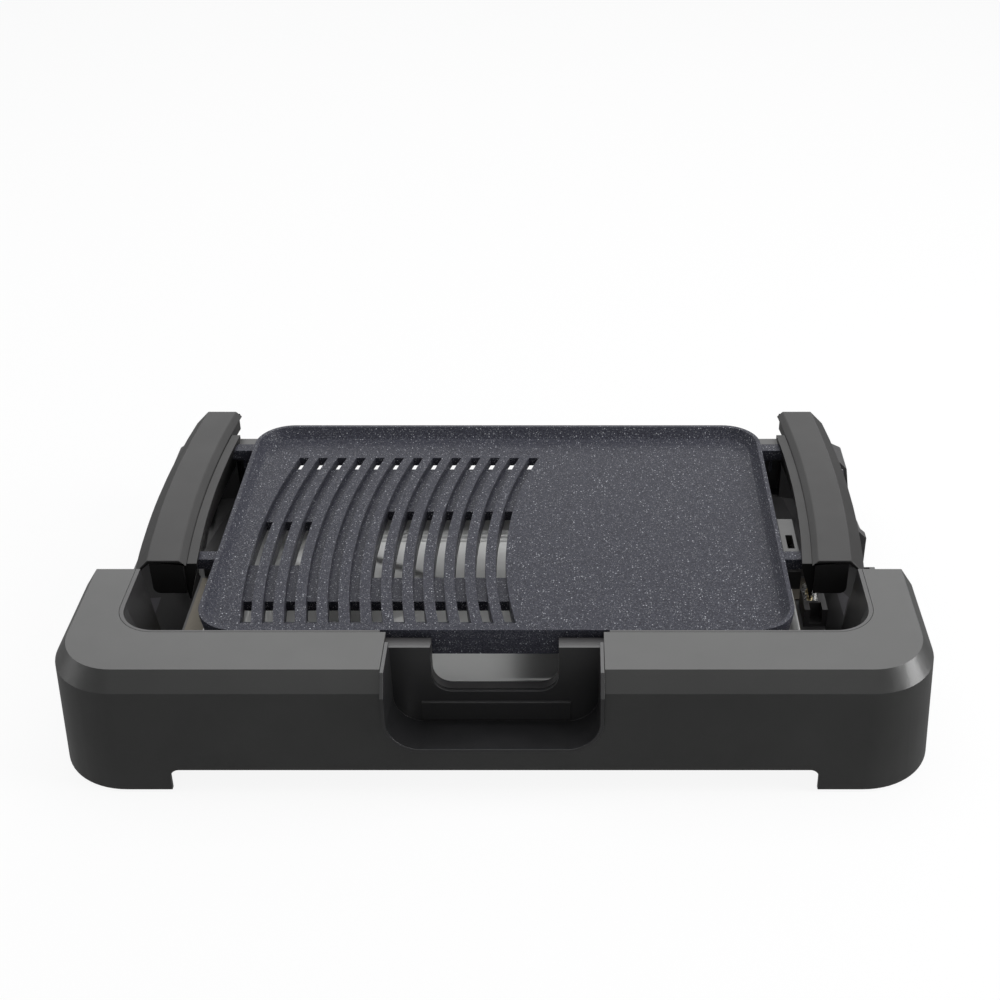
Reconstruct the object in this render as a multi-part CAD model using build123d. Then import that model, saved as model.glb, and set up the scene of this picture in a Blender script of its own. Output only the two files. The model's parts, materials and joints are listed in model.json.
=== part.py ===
from build123d import *
import os
from math import atan2, degrees, sqrt

# Electric table grill: a moulded base with corner towers, a pressed drip tray and a
# cast plate that lifts off by its two side handles. Millimetres, +Z up, +Y to the rear.
# The origin is the middle of the footprint on the table.

# Base body
base_width = 582.0
base_depth = 340.5
rim_height = 92.0
rim_depth = 51.5
rim_chamfer = 8.5
rim_chamfer_height = 13.0
shell_wall = 3.0
corner_radius = 46.0
skirt_flare = 4.5
skirt_gap = 18.0
arch_radius = 6.0
flank_length = 122.5
seam_half_width = base_width / 2 - 40.0
seam_radius = 28.0
foot_reach = 75.5
pad_height = 3.0
pad_radius = 9.0
joint_gap = 0.3

# Inner housing
housing_half_width = base_width / 2 - 14.0
housing_floor_z = 9.0
housing_floor = 2.5
well_depth = base_depth - rim_depth
well_half_width = housing_half_width - 39.0
well_slope_top = housing_half_width - 4.0
side_wall_top = 27.5
side_wall_middle = 32.0
side_wall_front = 43.0
side_fall_front = 165.0
side_fall_middle = 232.0
plateau_front = 228.0
slope_foot = 186.0
ledge_z = 32.0
ledge_tip = 175.0
ledge_tip_x = well_half_width - 3.0
ledge_root_x = well_half_width - 16.0
channel_x = well_half_width + 9.4
channel_radius = 7.8
rear_wall_z = 37.5
rear_wall_front = well_depth - 16.0
rear_wall = 3.0
rear_shelf_z = 28.0
front_wall_back = -1.5
front_wall = 5.6

# Corner towers
tower_front = well_depth - 33.5
tower_top = 81.0
tower_inner = housing_half_width - 82.2
tower_step = housing_half_width - 40.5
tower_shoulder_in = 5.0
tower_shoulder_z = 60.0
tower_corner_in = 26.0
tower_flat = 12.5
tower_rear_fall = 21.0
tower_set_back = 3.0
column_inner = tower_step - 17.0
pocket_inner = tower_inner + 2.7
pocket_depth = 14.0
frame_z = 67.5
frame_rib = 1.8
hook_width = 6.5
hook_height = 4.5
hook_reach = 3.3
seat_z = 69.0
front_seat_width = 18.0
panel_recess = 1.2
panel_margin = 2.2

# Raised block at the right of the well
raised_inner = housing_half_width - 29.0
raised_front = 180.0
raised_length = 8.0
raised_top = 54.0
raised_fall = 10.0
raised_wall = 4.0
raised_back = 3.0
raised_foot = 16.0
raised_run = 40.0
raised_chamfer = 11.0

# Screws between the mouldings
floor_screw_x = 120.0
floor_screw_front = 40.0
side_screw_x = well_half_width - 8.5
side_screw_depth = 160.0
cover_screw_x = well_half_width - 38.0
cover_screw_front = 25.0
cover_screw_rear = 195.0
shell_screw_x = housing_half_width - 13.0
shell_screw_y = 34.0
shell_boss = 5.0
shell_boss_length = 10.0

# Hand recess in the front
recess_half_width = 71.0
recess_bottom = 34.0
recess_fall = 12.0
recess_radius = 24.0
recess_wall = 2.4
recess_back = -10.0
recess_back_top = 87.0
notch_half_width = 41.7
notch_bottom = 50.6
notch_radius = 13.0
recess_pad_half = 49.5
recess_pad_low = 27.5
recess_pad_top = 42.0

# Drip tray
tray_half_width = well_half_width - 24.0
tray_front = 12.0
tray_rear = well_depth - 38.0
tray_rim_z = 34.0
tray_height = 18.0
tray_sheet = 1.0
tray_flange = 6.0
tray_slope = 15.0
tray_front_radius = 60.0
tray_rear_radius = 90.0
tray_gap = 5.0

# Heat shield under the tray
shield_sheet = 0.8
shield_margin = 2.0
stud_radius = 8.0
stud_x = 130.0
stud_front = 75.0
stud_rear = 190.0

# Cast plate
plate_half_width = well_half_width - 39.0
plate_front = 3.0
plate_rear = well_depth - 17.0
plate_height = 22.0
plate_radius = 28.0
plate_draft = 3.0
plate_rim = 3.0
plate_inner_slope = 10.0
plate_depth = 9.0
front_seat_x = plate_half_width - 12.0
plate_floor = 7.0
seat_gap = 0.3

# Grill ribs and slots, on arcs about one centre to the right
arc_x = 397.0
arc_y = 109.0
arc_radius = 397.3
rib_pitch = 14.5
groove_width = 7.2
groove_depth = 4.2
groove_count = 13
groove_front = 22.0
groove_rear = plate_rear - 36.0
front_slot = (29.0, 52.0)
left_slot = (95.0, 151.0)
right_slot = (80.0, 165.0)
rear_slot = (plate_rear - 46.5, plate_rear - 36.0)
collar_rise = 1.0
collar_wall = 2.5
left_slot_first = 10
right_slot_last = 6

# Heating element
tube_diameter = 8.0
tube_sink = 2.0
element_front = 60.0
element_rear = 184.0
element_left = -102.0
element_exit = 112.0
element_bend = 22.0

# Arms, handles and guards
arm_front = 92.0
arm_rear = plate_rear - 31.0
arm_width = 10.0
arm_height = 8.0
arm_drop = 2.5
arm_taper = 4.0
arm_tab = 13.0
handle_front = 73.0
handle_rear = well_depth - 5.0
handle_inner = plate_half_width + 11.0
handle_width = 32.0
handle_bow = 6.0
handle_rise = 6.0
handle_box_height = 24.5
grip_wall = 2.5
grip_round = 5.0
arm_reach = 13.0
arm_screw_inset = 6.0
cover_thickness = 3.0
cover_inset = 2.0
cover_lip = 4.6
visor_reach = 11.0
visor_drop = 12.0
guard_width = 9.0
guard_drop = 5.0
guard_hang = 30.0
guard_wall = 2.0
guard_strip = 3.0
guard_set_back = 4.0

# Inlet block under the right arm
block_front = 84.0
block_rear = 150.0
block_height = 15.0
block_width = 11.0
block_rise = 6.0
block_wall = 2.5
pin_diameter = 3.5
pin_length = 20.0
pin_spacing = 5.0
probe_diameter = 6.0
probe_offset = 10.0

# Contact bracket in the right of the well
clip_x = well_half_width - 6.0
clip_depth = 128.0
clip_top = 56.0
clip_stand = 29.0
contact_left = 10.0
contact_right = 7.0
clip_width = 7.0
clip_sheet = 1.0

screw_head = 3.4
screw_shank = 1.6

PARTS = {}


def place(behind_rim):
    """Y of a place given as a distance behind the front edge of the well."""
    return -base_depth / 2 + rim_depth + behind_rim


def block(x0, x1, y0, y1, z0, z1):
    """A box between two corners."""
    return Pos((x0 + x1) / 2, (y0 + y1) / 2, (z0 + z1) / 2) * Box(x1 - x0, y1 - y0, z1 - z0)


def post(x, y, z0, z1, radius):
    """An upright cylinder."""
    return Pos(x, y, (z0 + z1) / 2) * Cylinder(radius, z1 - z0)


def outline(half_width, y0, y1, z, front_radius, rear_radius):
    """A plan outline with its own front and rear corner radii."""
    q = sqrt(0.5)
    f = front_radius
    r = rear_radius
    w = half_width
    edges = [
        Line((-w + f, y0), (w - f, y0)),
        ThreePointArc((w - f, y0), (w - f + f * q, y0 + f - f * q), (w, y0 + f)),
        Line((w, y0 + f), (w, y1 - r)),
        ThreePointArc((w, y1 - r), (w - r + r * q, y1 - r + r * q), (w - r, y1)),
        Line((w - r, y1), (-w + r, y1)),
        ThreePointArc((-w + r, y1), (-w + r - r * q, y1 - r + r * q), (-w, y1 - r)),
        Line((-w, y1 - r), (-w, y0 + f)),
        ThreePointArc((-w, y0 + f), (-w + f - f * q, y0 + f - f * q), (-w + f, y0)),
    ]
    return Pos(0, 0, z) * make_face(edges)


def prism(half_width, y0, y1, z0, z1, front_radius, rear_radius):
    """An upright solid on a rounded plan outline."""
    return extrude(outline(half_width, y0, y1, z0, front_radius, rear_radius), z1 - z0)


def funnel(low, high):
    """A ruled solid between two plan outlines."""
    return loft([low, high], ruled=True)


def profile_y(points, y0, y1):
    """A solid on an XZ outline, running from y0 to y1."""
    wire = Polyline(*[(x, y0, z) for x, z in points], close=True)
    face = make_face(wire)
    return extrude(face, y1 - y0, dir=(0, 1, 0))


def profile_x(points, x0, x1):
    """A solid on a YZ outline, running from x0 to x1."""
    wire = Polyline(*[(x0, y, z) for y, z in points], close=True)
    face = make_face(wire)
    return extrude(face, x1 - x0, dir=(1, 0, 0))


def plan(points, z0, z1):
    """A solid on a plan outline, with its depths behind the well's front edge."""
    wire = Polyline(*[(x, place(d), z0) for x, d in points], close=True)
    return extrude(make_face(wire), z1 - z0, dir=(0, 0, 1))


def mirrored(shape):
    """The same shape on the other side of the middle plane."""
    return mirror(shape, Plane.YZ)


def screw(x, y, z, length, up=True, head=screw_head, shank=screw_shank):
    """A pan-head screw with its seat at z, its shank going up or down."""
    side = 1 if up else -1
    shaft = post(x, y, min(z, z + side * length), max(z, z + side * length), shank)
    cap = post(x, y, min(z, z - side * 2.0), max(z, z - side * 2.0), head)
    return shaft + cap


def save(name, *solids):
    """Write one node."""
    PARTS[name] = solids[0] if len(solids) == 1 else Compound(children=list(solids))


front_y = -base_depth / 2
rear_y = base_depth / 2
half_base = base_width / 2
well_y = place(0)
flank_y = front_y + flank_length
chamfer_z = rim_height - rim_chamfer_height


# Outer shell: the front and both flanks in one moulding

def shell_outline(inset, z):
    """Plan of the shell at a height, square at its rear ends."""
    radius = corner_radius - inset
    return outline(half_base - skirt_flare - inset, front_y + skirt_flare + inset,
                   flank_y, z, radius, 0.5)


def shell_body(inset, top):
    """The shell's outside, or its hollow when inset by the wall."""
    lower = funnel(shell_outline(inset - skirt_flare, 0.0), shell_outline(inset, chamfer_z))
    upper = funnel(shell_outline(inset, chamfer_z), shell_outline(inset + rim_chamfer, rim_height))
    body = lower + upper
    if top < rim_height:
        body -= block(-base_width, base_width, front_y - 1, flank_y + 1, top, rim_height + 1)
    return body


def recess_cut(half_width, bottom, back, radius, front):
    """U-shaped opening of the hand recess, open at the top, its floor falling to the rear."""
    top = rim_height + 20
    solid = block(-half_width, half_width, -base_depth, base_depth, 0, top)
    lows = solid.edges().filter_by(Axis.Y).group_by(Axis.Z)[0]
    tilt = degrees(atan2(recess_fall, recess_back + rim_depth))
    solid = Pos(0, front_y, bottom) * Rot(-tilt, 0, 0) * fillet(lows, radius)
    return solid & block(-half_width - 1, half_width + 1, front, back, 0, top)


hollow = shell_body(shell_wall, rim_height - shell_wall)
hollow -= block(-base_width, base_width, flank_y - shell_wall, flank_y + 1, -1, rim_height + 1)
seam = prism(seam_half_width, well_y, flank_y + 60, -1, rim_height + 1, seam_radius, 5.0)
shell = shell_body(0.0, rim_height) - hollow - seam
shell -= recess_cut(recess_half_width, recess_bottom, place(recess_back) + 20, recess_radius,
                    front_y - 5)
foot_inner = half_base - skirt_flare - foot_reach
front_arch = block(-foot_inner, foot_inner, front_y - 1, front_y + corner_radius, -1, skirt_gap)
front_arch = fillet(front_arch.edges().filter_by(Axis.Y).group_by(Axis.Z)[-1], arch_radius)
side_arch_y = front_y + foot_reach + 8
side_arch = block(foot_inner, base_width, side_arch_y, flank_y + 1, -1, skirt_gap)
shell -= front_arch + side_arch + mirrored(side_arch)
shell -= block(-base_width, base_width, front_y - 1, rear_y, -1, pad_height - 1.0)
foot_x = half_base - foot_reach / 2 - 6
foot_y = front_y + 25
front_foot = block(foot_x - 15, foot_x + 15, foot_y - 12, foot_y + 12, pad_height - 1.0, skirt_gap + 6)
foot_web = block(foot_x - 2, foot_x + 2, front_y + shell_wall + 1, foot_y, pad_height - 1.0,
                 skirt_gap + 6)
front_foot = front_foot + foot_web
shell = shell + front_foot + mirrored(front_foot)
under_top = rim_height - shell_wall
boss_low = under_top - shell_boss_length
shell_bosses = []
for side in (-1, 1):
    boss = post(side * shell_screw_x, place(shell_screw_y), boss_low, under_top + 1, shell_boss)
    boss -= post(side * shell_screw_x, place(shell_screw_y), 0, under_top, screw_shank + 0.1)
    shell += boss
    shell_bosses.append(screw(side * shell_screw_x, place(shell_screw_y), boss_low - shell_wall,
                              shell_boss_length))
save("outer_shell", shell)
save("shell_screws", *shell_bosses)


# Inner housing: floor, walls, funnel sides, ledge and corner towers in one moulding

housing_front = place(front_wall_back - front_wall)
under_shell = rim_height - shell_wall - joint_gap
inside_shell = half_base - skirt_flare - rim_chamfer - shell_wall
shell_bay = shell_body(shell_wall + joint_gap, rim_height) & block(
    -inside_shell, inside_shell, housing_front, flank_y - shell_wall - joint_gap,
    housing_floor_z, under_shell)
lip = prism(seam_half_width - joint_gap, well_y + joint_gap, flank_y + 20, under_shell - 5,
            rim_height, seam_radius - joint_gap, 5.0)
lip -= block(-base_width, base_width, flank_y, flank_y + 60, 0, rim_height + 1)
flank_core = block(-seam_half_width + joint_gap, seam_half_width - joint_gap,
                   place(front_wall_back), flank_y, housing_floor_z, under_shell)
tub = profile_x([(flank_y - 6, housing_floor_z), (flank_y - 6, side_wall_front),
                 (place(side_fall_front), side_wall_front), (place(side_fall_middle), side_wall_middle),
                 (place(tower_front), side_wall_top), (rear_y, side_wall_top),
                 (rear_y, housing_floor_z)], -housing_half_width, housing_half_width)
tub -= block(seam_half_width - joint_gap, base_width, flank_y - 10, flank_y + joint_gap, 0, 100)
tub -= block(-base_width, -seam_half_width + joint_gap, flank_y - 10, flank_y + joint_gap, 0, 100)
tub -= block(-well_half_width, well_half_width, flank_y - 10, rear_y + 1, ledge_z, 100)
rear_bank = block(-well_half_width + 0.5, well_half_width - 0.5, place(ledge_tip), rear_y,
                  housing_floor_z, ledge_z)
rear_bank -= block(-base_width, base_width, place(rear_wall_front), rear_y + 1, rear_shelf_z, 100)
wall = block(-tower_inner - 5, tower_inner + 5, place(rear_wall_front),
             place(rear_wall_front + rear_wall), housing_floor_z, rear_wall_z)

tower_shoulder_x = housing_half_width - tower_shoulder_in
tower_corner_x = housing_half_width - tower_corner_in
tower_plan = profile_y([(tower_inner, housing_floor_z), (housing_half_width, housing_floor_z),
                        (housing_half_width, side_wall_top), (tower_shoulder_x, tower_shoulder_z),
                        (tower_corner_x, tower_top), (tower_inner, tower_top)],
                       place(tower_front), rear_y)
rear_fall = profile_x([(place(tower_front + tower_flat), tower_top), (rear_y + 1, tower_top - tower_rear_fall),
                       (rear_y + 1, tower_top + 5), (place(tower_front + tower_flat), tower_top + 5)],
                      0, base_width)
step_back = block(tower_inner - 1, tower_step, place(tower_front) - 1,
                  place(tower_front + tower_set_back), ledge_z, tower_top + 1)
column = plan([(tower_step + 1, tower_front + 0.5), (column_inner, tower_front + tower_set_back - 0.4),
               (column_inner, tower_front + tower_set_back + 1),
               (tower_step + 1, tower_front + tower_set_back + 1)], ledge_z - 1, tower_top)
pocket = block(pocket_inner, column_inner, place(tower_front), place(tower_front + pocket_depth),
               ledge_z + 1, frame_z)
frame_y = place(tower_front + tower_set_back)
frame = block(pocket_inner - frame_rib, pocket_inner, frame_y - 1.2, frame_y + 1, ledge_z - 1,
              frame_z + frame_rib)
frame += block(pocket_inner - frame_rib, column_inner, frame_y - 1.2, frame_y + 1, frame_z,
               frame_z + frame_rib)
frame += block(column_inner - hook_width, column_inner, frame_y - hook_reach + 0.6, frame_y + 1,
               frame_z, frame_z + hook_height)
tower_hollow = block(tower_inner + 3, housing_half_width - 8,
                     place(tower_front + pocket_depth + 3), rear_y - 3,
                     housing_floor_z - 1, tower_top - tower_rear_fall - 4)


def panel_slab(inset, front):
    """The tower's inset panel, or its recess when not inset."""
    edge = panel_margin + inset
    outline_points = [(tower_step + edge, side_wall_top + 1 + inset),
                      (housing_half_width - edge, side_wall_top + 1 + inset),
                      (tower_shoulder_x - edge, tower_shoulder_z - edge / 2),
                      (tower_corner_x - edge / 2, tower_top - edge), (tower_step + edge, tower_top - edge)]
    return profile_y(outline_points, front, place(tower_front) + panel_recess)


tower = tower_plan - rear_fall - step_back + column - pocket + frame - tower_hollow
tower -= panel_slab(0.0, place(tower_front) - 1)
housing = shell_bay + flank_core + lip + tub + rear_bank + wall + tower + mirrored(tower)

# The well: tray bay with its ledge, wider side pockets and sloping sides
floor_top = housing_floor_z + housing_floor
tray_bay = prism(tray_half_width + tray_gap, place(tray_front - 6), place(tray_rear + tray_gap),
                 floor_top, rim_height + 5, tray_front_radius, tray_rear_radius + tray_gap)
side_bay = profile_y([(-well_half_width, floor_top), (well_half_width, floor_top),
                      (well_slope_top, side_wall_front - 1), (well_slope_top, 150),
                      (-well_slope_top, 150), (-well_slope_top, side_wall_front - 1)],
                     flank_y + joint_gap, place(plateau_front))
side_bay -= profile_x([(place(slope_foot), floor_top - 1), (place(slope_foot), floor_top),
                       (place(plateau_front) + 1, side_wall_top),
                       (place(plateau_front) + 1, floor_top - 1)], -base_width, base_width)
ledge_keep = plan([(0, ledge_tip), (ledge_tip_x, ledge_tip), (ledge_root_x, tower_front + tower_set_back),
                   (0, tower_front + tower_set_back)], floor_top - 1, 200)
side_bay = side_bay - ledge_keep - mirrored(ledge_keep)
chute_outer = channel_x - channel_radius + 1
chute = plan([(ledge_root_x, tower_front + tower_set_back - 0.4), (tower_step, tower_front + 0.6),
              (chute_outer, plateau_front), (chute_outer, ledge_tip),
              (ledge_tip_x, ledge_tip)], floor_top, 150)
chute &= profile_x([(place(ledge_tip), floor_top), (place(slope_foot), floor_top),
                    (place(tower_front + tower_set_back), ledge_z - 0.5),
                    (place(tower_front + tower_set_back), 150), (place(ledge_tip), 150)], 0, base_width)
funnel_bay = profile_y([(-well_half_width, floor_top), (well_half_width, floor_top),
                        (seam_half_width - 3, rim_height + 1), (-seam_half_width + 3, rim_height + 1)],
                       place(seam_radius), flank_y + joint_gap)
front_bay = funnel(
    outline(well_half_width - 14, place(front_wall_back), place(seam_radius + 5), floor_top, 14.0, 0.5),
    outline(seam_half_width - 3, place(2), place(seam_radius + 5), rim_height + 1, 25.0, 0.5))
front_corner = block(-ledge_tip_x, ledge_tip_x, place(150), place(ledge_tip), floor_top, 150)
channel_plane = Plane(origin=(channel_x, place(slope_foot - 6), floor_top - 2.4),
                      z_dir=(0, plateau_front - slope_foot, side_wall_top - floor_top))
channel = extrude(channel_plane * Circle(channel_radius), 50)
channel &= block(0, base_width, place(150), rear_y, floor_top, 150)
housing = housing - tray_bay - side_bay - funnel_bay - front_bay - front_corner
housing = housing - chute - mirrored(chute) - channel - mirrored(channel)

notch = block(-notch_half_width, notch_half_width, place(-30), place(6), notch_bottom, rim_height + 5)
notch = fillet(notch.edges().filter_by(Axis.Y).group_by(Axis.Z)[0], notch_radius)
housing -= notch
housing -= block(-recess_half_width - 4, recess_half_width + 4, place(-30), place(3),
                 recess_back_top - 1, rim_height + 5)
bay_hollow = block(seam_half_width + 3, inside_shell - 2.5, well_y, flank_y - 6,
                   housing_floor_z - 1, under_shell - 2.5)
cup_low = boss_low - shell_wall
cup = post(shell_screw_x, place(shell_screw_y), cup_low, under_shell, shell_boss + 3)
cup_hole = post(shell_screw_x, place(shell_screw_y), boss_low - joint_gap, rim_height,
                shell_boss + joint_gap)
cup_hole += post(shell_screw_x, place(shell_screw_y), cup_low - 1, rim_height, screw_shank + 0.1)
bank_hollow = block(-cover_screw_x, cover_screw_x, place(227), rear_y - rear_wall,
                    housing_floor_z - 1, rear_shelf_z - rear_wall)
bank_hollow -= prism(tray_half_width + tray_gap + 3, place(0), place(tray_rear + tray_gap + 3),
                     0, rim_height, tray_front_radius, tray_rear_radius + tray_gap + 3)
housing = housing - bay_hollow - mirrored(bay_hollow) + cup + mirrored(cup)
housing = housing - cup_hole - mirrored(cup_hole) - bank_hollow

# A raised block at the right of the well, with a recess in its front
raised = profile_y([(raised_inner, housing_floor_z), (housing_half_width, housing_floor_z),
                    (housing_half_width, raised_top - raised_fall),
                    (housing_half_width - raised_chamfer, raised_top), (raised_inner, raised_top)],
                   place(raised_front), place(raised_front + raised_length))
raised -= block(raised_inner + raised_wall, housing_half_width - raised_chamfer,
                place(raised_front) - 1, place(raised_front + raised_length - raised_back),
                raised_foot + raised_wall / 2, raised_top - raised_wall / 2)
raised_notch = profile_x([(place(raised_front), raised_foot), (place(raised_front), raised_top + 6),
                          (place(raised_front - raised_run), raised_top + 6),
                          (place(raised_front - raised_run), raised_foot + 0.725 * raised_run)],
                         raised_inner, base_width)
housing = housing - raised_notch + raised

# A bay in the right side slope for the contact block
housing -= block(clip_x - contact_left - joint_gap, clip_x + contact_right + joint_gap,
                 place(clip_depth - 17) - joint_gap, place(clip_depth + 10) + joint_gap, floor_top,
                 rim_height)

# Rear feet and screw bosses under the floor
rear_foot_x = housing_half_width - 30
rear_foot_y = rear_y - 34
rear_foot = block(rear_foot_x - 20, rear_foot_x + 20, rear_foot_y - 20, rear_foot_y + 20,
                  pad_height - 1.0, housing_floor_z + 1)
housing = housing + rear_foot + mirrored(rear_foot)
boss_places = [(side * bx, place(by)) for bx, by in ((floor_screw_x, floor_screw_front),
                                                     (side_screw_x, side_screw_depth))
               for side in (-1, 1)]
cover_screw_places = [(side * cover_screw_x, place(by)) for by in (cover_screw_front, cover_screw_rear)
                      for side in (-1, 1)]
for bx, by in boss_places + cover_screw_places:
    housing -= post(bx, by, 0, floor_top, screw_shank + 0.1)
front_seat = block(front_seat_x - front_seat_width / 2, front_seat_x + front_seat_width / 2,
                   place(front_wall_back) - 1, place(tray_front - 1), floor_top - 1, seat_z)
housing = housing + front_seat + mirrored(front_seat)
save("inner_housing", housing)


# Tower panels, set into the tower fronts

panel = panel_slab(joint_gap, place(tower_front) - 0.4)
save("tower_panel_right", panel)
save("tower_panel_left", mirrored(panel))


# Hand recess liner

liner_outer = recess_cut(recess_half_width - joint_gap, recess_bottom + joint_gap,
                         place(recess_back) + recess_wall, recess_radius - joint_gap, front_y)
liner_outer -= block(-100, 100, front_y - 1, rear_y, rim_height, 200)
inner_half = recess_half_width - joint_gap - recess_wall
liner_hollow = recess_cut(inner_half, recess_bottom + joint_gap + recess_wall,
                          place(recess_back), recess_radius - recess_wall, front_y - 1)
liner = liner_outer - liner_hollow
liner -= profile_x([(front_y - 1, chamfer_z - 2), (front_y - 1, rim_height + 1),
                    (front_y + rim_chamfer + 2, rim_height + 1)], -100, 100)
liner -= block(-100, 100, place(recess_back) - 0.5, rear_y, recess_back_top, 200)
liner -= notch
pad_face = block(-recess_pad_half, recess_pad_half, place(recess_back) - 1.6, place(recess_back) + 0.5,
                 recess_pad_low, recess_pad_top)
liner += pad_face & liner_outer
save("hand_recess", liner)


# Drip tray: pressed sheet with a flat flange, sloping walls and stamped ribs

def tray_outline(inset, z):
    """Plan of the tray at a height."""
    return outline(tray_half_width - inset, place(tray_front) + inset, place(tray_rear) - inset, z,
                   tray_front_radius - inset, tray_rear_radius - inset)


tray_floor_z = tray_rim_z - tray_height
tray_outside = funnel(tray_outline(tray_flange + tray_slope, tray_floor_z),
                      tray_outline(tray_flange, tray_rim_z - tray_sheet))
tray_flange_plate = extrude(tray_outline(0.0, tray_rim_z - tray_sheet), tray_sheet)
tray_inside = funnel(tray_outline(tray_flange + tray_slope + tray_sheet, tray_floor_z + tray_sheet),
                     tray_outline(tray_flange + tray_sheet, tray_rim_z))
tray = tray_outside + tray_flange_plate - tray_inside


def tray_rib(x0, y0, x1, y1, width, height):
    """A straight pressed rib on the tray floor."""
    base = tray_floor_z + tray_sheet
    length = sqrt((x1 - x0) ** 2 + (y1 - y0) ** 2)
    middle = Pos((x0 + x1) / 2, (y0 + y1) / 2, base + height / 2)
    rib = Box(length, width, height)
    turn = Vector(x1 - x0, y1 - y0, 0).get_signed_angle(Vector(1, 0, 0)) * -1
    return middle * Rot(0, 0, turn) * rib


rib_rear = place(210)
rib_front = place(52)
rib_mid_y = place(158)
for side in (-1, 1):
    tray += tray_rib(side * 126, rib_rear, side * 56, rib_mid_y, 7.0, 1.6)
    tray += tray_rib(side * 56, rib_mid_y, side * 126, rib_front, 7.0, 1.6)
tray += block(-56, 56, rib_mid_y - 3.5, rib_mid_y + 3.5, tray_floor_z + tray_sheet,
              tray_floor_z + tray_sheet + 1.6)
save("drip_tray", tray)


# Heat shield: a shallow metal pan on the housing floor

shield_z = floor_top
shield_half = well_half_width - shield_margin
shield_y0 = place(tray_front)
shield_y1 = place(tray_rear - 30)
shield = prism(shield_half, shield_y0, shield_y1, shield_z, shield_z + shield_sheet, 20.0, 20.0)
shield -= block(clip_x - 12, base_width, place(clip_depth - 26), place(clip_depth + 16), 0, 100)
keep = prism(tray_half_width + tray_gap - 1, place(tray_front - 4), place(tray_rear), 0, 100,
             tray_front_radius, tray_rear_radius + tray_gap)
shield_tail = block(-base_width, base_width, place(ledge_tip - 3), rear_y, 0, 100) - keep
shield = shield - shield_tail
front_band = block(-base_width, base_width, front_y, place(40), 0, 100) - keep
shield = shield - front_band
for side in (-1, 1):
    for depth in (stud_front, stud_rear):
        shield += post(side * stud_x, place(depth), shield_z, tray_floor_z - joint_gap, stud_radius)
for bx, by in boss_places:
    shield -= post(bx, by, 0, 100, screw_shank + 0.1)
save("heat_shield", shield)
shield_top = shield_z + shield_sheet
shield_screws = [screw(bx, by, shield_top, shield_sheet + housing_floor + 0.5, up=False)
                 for bx, by in boss_places]
save("heat_shield_screws", *shield_screws)


# Bottom cover under the housing floor

cover_sheet = 1.5
cover_z1 = housing_floor_z
bottom = prism(well_half_width - 20, place(12), rear_y - 60, cover_z1 - cover_sheet, cover_z1,
               10.0, 10.0)
for bx, by in boss_places + cover_screw_places:
    bottom -= post(bx, by, 0, 100, screw_shank + 0.1)
save("bottom_cover", bottom)
cover_screws = [screw(bx, by, cover_z1 - cover_sheet, 3.4) for bx, by in cover_screw_places]
save("bottom_cover_screws", *cover_screws)


# Rubber pads under the four feet

pad_places = [(foot_x, foot_y), (-foot_x, foot_y), (rear_foot_x, rear_foot_y),
              (-rear_foot_x, rear_foot_y)]
pads = [post(px, py, 0.0, pad_height - 1.0, pad_radius) for px, py in pad_places]
save("rubber_feet", *pads)


# Cast plate

seat_y0 = place(plate_front)
seat_y1 = place(plate_rear)
plate_z0 = seat_z + seat_gap
plate_z1 = plate_z0 + plate_height
pan_top = plate_z1 - plate_depth
pan_under = pan_top - plate_floor


def plate_outline(inset, z):
    """Plan of the cast plate at a height."""
    radius = max(plate_radius - inset, 4.0)
    return outline(plate_half_width - inset, seat_y0 + inset, seat_y1 - inset, z, radius, radius)


def rib_arc(index):
    """Radius of a groove, counted from the right."""
    return arc_radius + rib_pitch * index


def ring(radius, width, z0, z1):
    """A short wide tube about the arcs' centre."""
    centre = Pos(arc_x, place(arc_y), (z0 + z1) / 2)
    return centre * (Cylinder(radius + width / 2, z1 - z0) - Cylinder(radius - width / 2, z1 - z0 + 1))


plate = funnel(plate_outline(plate_draft, plate_z0), plate_outline(0.0, plate_z1 - 3))
plate += extrude(plate_outline(0.0, plate_z1 - 3), 3)
wall_steps = [(0.0, 0.0), (0.3, 0.61), (0.55, 0.89), (1.0, 1.0)]
for (in0, down0), (in1, down1) in zip(wall_steps, wall_steps[1:]):
    plate -= funnel(plate_outline(plate_rim + in1 * plate_inner_slope, plate_z1 - down1 * plate_depth),
                    plate_outline(plate_rim + in0 * plate_inner_slope, plate_z1 - down0 * plate_depth))
plate -= funnel(plate_outline(plate_draft + plate_rim + 1, plate_z0),
                plate_outline(plate_draft + plate_rim, pan_under))
pan_inner = plate_half_width - plate_rim - plate_inner_slope
collar_low = plate_z0 + collar_rise
collar_spans = [(front_slot, 0, int(groove_count) - 1), (right_slot, 0, right_slot_last),
                (left_slot, left_slot_first, int(groove_count) - 1)]
for span, first, last in collar_spans:
    collar_x0 = max(arc_x - rib_arc(last) - groove_width, -pan_inner)
    collar_x1 = arc_x - rib_arc(first) + groove_width + 6
    plate += block(collar_x0, collar_x1, place(span[0] - collar_wall), place(span[1] + collar_wall),
                   collar_low, pan_under + 0.5)
groove_zone = block(-pan_inner + 3, 60, place(groove_front), place(groove_rear),
                    pan_top - groove_depth, pan_top + 1)


def slot_zone(first, last, span):
    """Grooves first to last, cut right through over one span of depth."""
    cuts = []
    zone = block(-pan_inner + 5, 60, place(span[0]), place(span[1]), collar_low - 1, pan_top)
    for index in range(int(first), int(last) + 1):
        if rib_arc(index) + groove_width > arc_x + pan_inner:
            continue
        cuts.append(ring(rib_arc(index), groove_width - 0.6, collar_low - 1, pan_top) & zone)
    return cuts


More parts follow.
